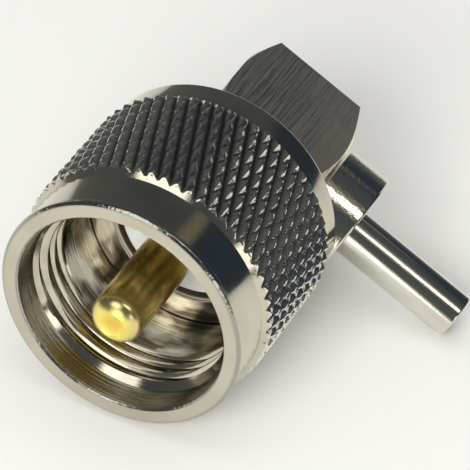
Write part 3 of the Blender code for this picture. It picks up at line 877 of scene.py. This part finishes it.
shader.inputs["Metallic"].default_value = 1.0
links.new(add_bump(nodes, links, marks.outputs["Height"], 0.000002), shader.inputs["Normal"])
finish_piece("centre_pin_gold", points, faces, gold, "plug_body", "centre_pin")


# Elbow body
# One piece cut from square brass bar: milled flats with fine feed marks, end chamfers and a round boss
# turned about the stem's axis, and bores for the barrel, the cap and the stem. Nickel plated.
BLOCK_HALF = 5.5
BLOCK_BACK = -4.7
BLOCK_FRONT = 5.7
BAR_EDGE = 0.1
BAR_LOW = -7.0
BAR_HIGH = 12.0
CHAMFER_SLOPE = math.tan(math.radians(29.0))
CHAMFER_START = 5.65
PAST_BAR = 11.0
BOSS = 4.88
BOSS_END = 9.45
CAP_HOLE = 4.44
CHAMBER = 4.2
BARREL_STOP = 19.1
SPIGOT_HOLE = 3.9
SPIGOT_CHAMFER = 0.6
SOCKET_FRONT = 16.0
SOCKET_REAR = 30.0
STEM_HOLE = 2.15
STEM_STOP = 7.0
CABLE_POCKET = 3.7
FLAT_DARK = (0.36, 0.33, 0.285)
FLAT_PALE = (0.94, 0.87, 0.77)
FLAT_WARM_PALE = (1.0, 0.86, 0.70)
BOSS_NICKEL = (0.67, 0.65, 0.58)
FEED_PER_MM = 6.6


def stem_point(x, radius, angle):
    return (x, STEM_AXIS_Y + radius * math.cos(angle), radius * math.sin(angle))


def add_form(name, points, faces):
    """A plain object for the bar or for what is cut from it."""
    mesh = bpy.data.meshes.new(name)
    mesh.from_pydata([Vector(point) for point in points], [], faces)
    clean_mesh(mesh, 0.0005)
    made = bpy.data.objects.new(name, mesh)
    bpy.context.scene.collection.objects.link(made)
    return made


def cut(target, other, operation):
    step = target.modifiers.new(operation, "BOOLEAN")
    step.operation = operation
    step.object = other


edge = BLOCK_HALF - BAR_EDGE
bar_outline = [
    (edge, BLOCK_HALF), (BLOCK_HALF, edge), (BLOCK_HALF, -edge), (edge, -BLOCK_HALF),
    (-edge, -BLOCK_HALF), (-BLOCK_HALF, -edge), (-BLOCK_HALF, edge), (-edge, BLOCK_HALF),
]
bar_points = [(x, STEM_AXIS_Y + y, z) for x in (BAR_LOW, BAR_HIGH) for y, z in bar_outline]
bar_faces = grid_faces(2, 8) + [tuple(range(8)), tuple(range(8, 16))]
bar = add_form("bar", bar_points, bar_faces)
turned_profile = rounded([
    (BOSS_END, 0.0, 0.0), (BOSS_END, BOSS, 0.32), (BLOCK_FRONT, BOSS, 0.06),
    (BLOCK_FRONT - (PAST_BAR - BOSS) * CHAMFER_SLOPE, PAST_BAR, 0.0),
    (BLOCK_BACK + (PAST_BAR - CHAMFER_START) * CHAMFER_SLOPE, PAST_BAR, 0.0),
    (BLOCK_BACK, CHAMFER_START, 0.08), (BLOCK_BACK, 0.0, 0.0),
])
turned_form = add_form("turned_form", *turned_surface(turned_profile, 192, stem_point))
socket_profile = [
    (SOCKET_REAR, 0.0), (SOCKET_REAR, CAP_HOLE), (DISC_REAR, CAP_HOLE), (DISC_REAR, CHAMBER),
    (BARREL_STOP, CHAMBER), (BARREL_STOP, SPIGOT_HOLE), (SOCKET_FRONT + SPIGOT_CHAMFER, SPIGOT_HOLE),
    (SOCKET_FRONT, SPIGOT_HOLE + SPIGOT_CHAMFER), (SOCKET_FRONT, 0.0),
]
socket_form = add_form("socket_form", *turned_surface(socket_profile, 96))
way_profile = [
    (BAR_HIGH, 0.0), (BAR_HIGH, STEM_HOLE), (STEM_STOP, STEM_HOLE), (STEM_STOP, CABLE_POCKET),
    (0.0, CABLE_POCKET), (0.0, 0.0),
]
way_form = add_form("way_form", *turned_surface(way_profile, 96, stem_point))
cut(bar, turned_form, "INTERSECT")
cut(bar, socket_form, "DIFFERENCE")
cut(bar, way_form, "DIFFERENCE")
bpy.context.view_layer.update()
cut_bar = bpy.data.meshes.new_from_object(bar.evaluated_get(bpy.context.evaluated_depsgraph_get()))
points = [tuple(vertex.co) for vertex in cut_bar.vertices]
faces = [tuple(polygon.vertices) for polygon in cut_bar.polygons]
for form in (bar, turned_form, socket_form, way_form):
    bpy.data.objects.remove(form, do_unlink=True)

block_nickel, nodes, links, shader = new_material("milled_nickel")
where = place_group(nodes, directions)
along = where.outputs["Along Stem"]
sway = add_noise(nodes, links, where.outputs["Place"], 0.35).outputs["Fac"]
swayed = math_node(nodes, links, "ADD", along, math_node(nodes, links, "MULTIPLY", sway, 0.12))
feed_place = nodes.new("ShaderNodeCombineXYZ")
links.new(math_node(nodes, links, "MULTIPLY", swayed, FEED_PER_MM), feed_place.inputs["X"])
links.new(math_node(nodes, links, "MULTIPLY", where.outputs["Stem Turn"], 0.9), feed_place.inputs["Y"])
feed_noise = add_noise(nodes, links, feed_place.outputs["Vector"], 1.0, 4.0)
feed_noise.inputs["Roughness"].default_value = 0.65
feed = feed_noise.outputs["Fac"]
on_flat = spread(nodes, links, where.outputs["Stem Radius"], 5.2, 5.4)
flat_tone = mix_colours(nodes, links, spread(nodes, links, feed, 0.38, 0.60), FLAT_DARK, FLAT_PALE)
# The flats turn lighter and warmer in patches toward the stem.
toward_stem = spread(nodes, links, along, -1.0, 5.0)
lighter_patches = spread(nodes, links, sway, 0.3, 0.5, 0.3, 1.0)
lighter_toward_stem = math_node(nodes, links, "MULTIPLY", toward_stem, lighter_patches)
flat_tone = mix_colours(nodes, links, lighter_toward_stem, flat_tone, FLAT_WARM_PALE)
links.new(mix_colours(nodes, links, on_flat, BOSS_NICKEL, flat_tone), shader.inputs["Base Color"])
links.new(spread(nodes, links, on_flat, 0.0, 1.0, 0.07, 0.24), shader.inputs["Roughness"])
links.new(spread(nodes, links, on_flat, 0.0, 1.0, 1.0, 0.96), shader.inputs["Metallic"])
feed_normal = add_bump(nodes, links, math_node(nodes, links, "MULTIPLY", feed, on_flat), 0.00005)
grain = add_noise(nodes, links, where.outputs["Place"], 4.0).outputs["Fac"]
links.new(add_bump(nodes, links, grain, 0.000013, feed_normal), shader.inputs["Normal"])
finish_piece(
    "elbow_body_plated", points, faces, block_nickel,
    "plug_body", "elbow_body", sharp=20.0,
)


# Rear cap
# A pressed disc of nickel-plated brass. It closes the soldering hole behind the pin and is pushed into
# a recess in the elbow's rear face.
CAP = 4.38
CAP_FRONT = 26.85
CAP_REAR = 27.65
cap_profile = rounded([
    (CAP_REAR, 0.0, 0.0), (CAP_REAR, CAP, 0.25), (CAP_FRONT, CAP, 0.0), (CAP_FRONT, 0.0, 0.0),
])
cap_nickel = turned_metal("cap_nickel", "Plug", NICKEL, NICKEL_WORN, 0.16)
points, faces = turned_surface(cap_profile, 120)
finish_piece("rear_cap_plated", points, faces, cap_nickel, "plug_body", "rear_cap")


# Crimp stem
# A thin drawn brass tube, nickel plated and polished, pressed into the boss. A cable's core goes
# through it, and the braid is crimped round it.
STEM = 1.85
STEM_BORE = 1.5
STEM_START = 7.3
STEM_END = 19.8
stem_profile = rounded([
    (STEM_END, STEM_BORE, 0.03), (STEM_END, STEM, 0.2), (STEM_START, STEM, 0.0), (STEM_START, STEM_BORE, 0.0),
])
STEM_NICKEL = (0.74, 0.715, 0.64)
STEM_WORN = (0.66, 0.64, 0.57)
stem_nickel = turned_metal("stem_nickel", "Stem", STEM_NICKEL, STEM_WORN, 0.07, peel=0.000003)
points, faces = turned_surface(stem_profile, 120, stem_point, closed=True)
finish_piece("crimp_stem_plated", points, faces, stem_nickel, "plug_body", "crimp_stem")
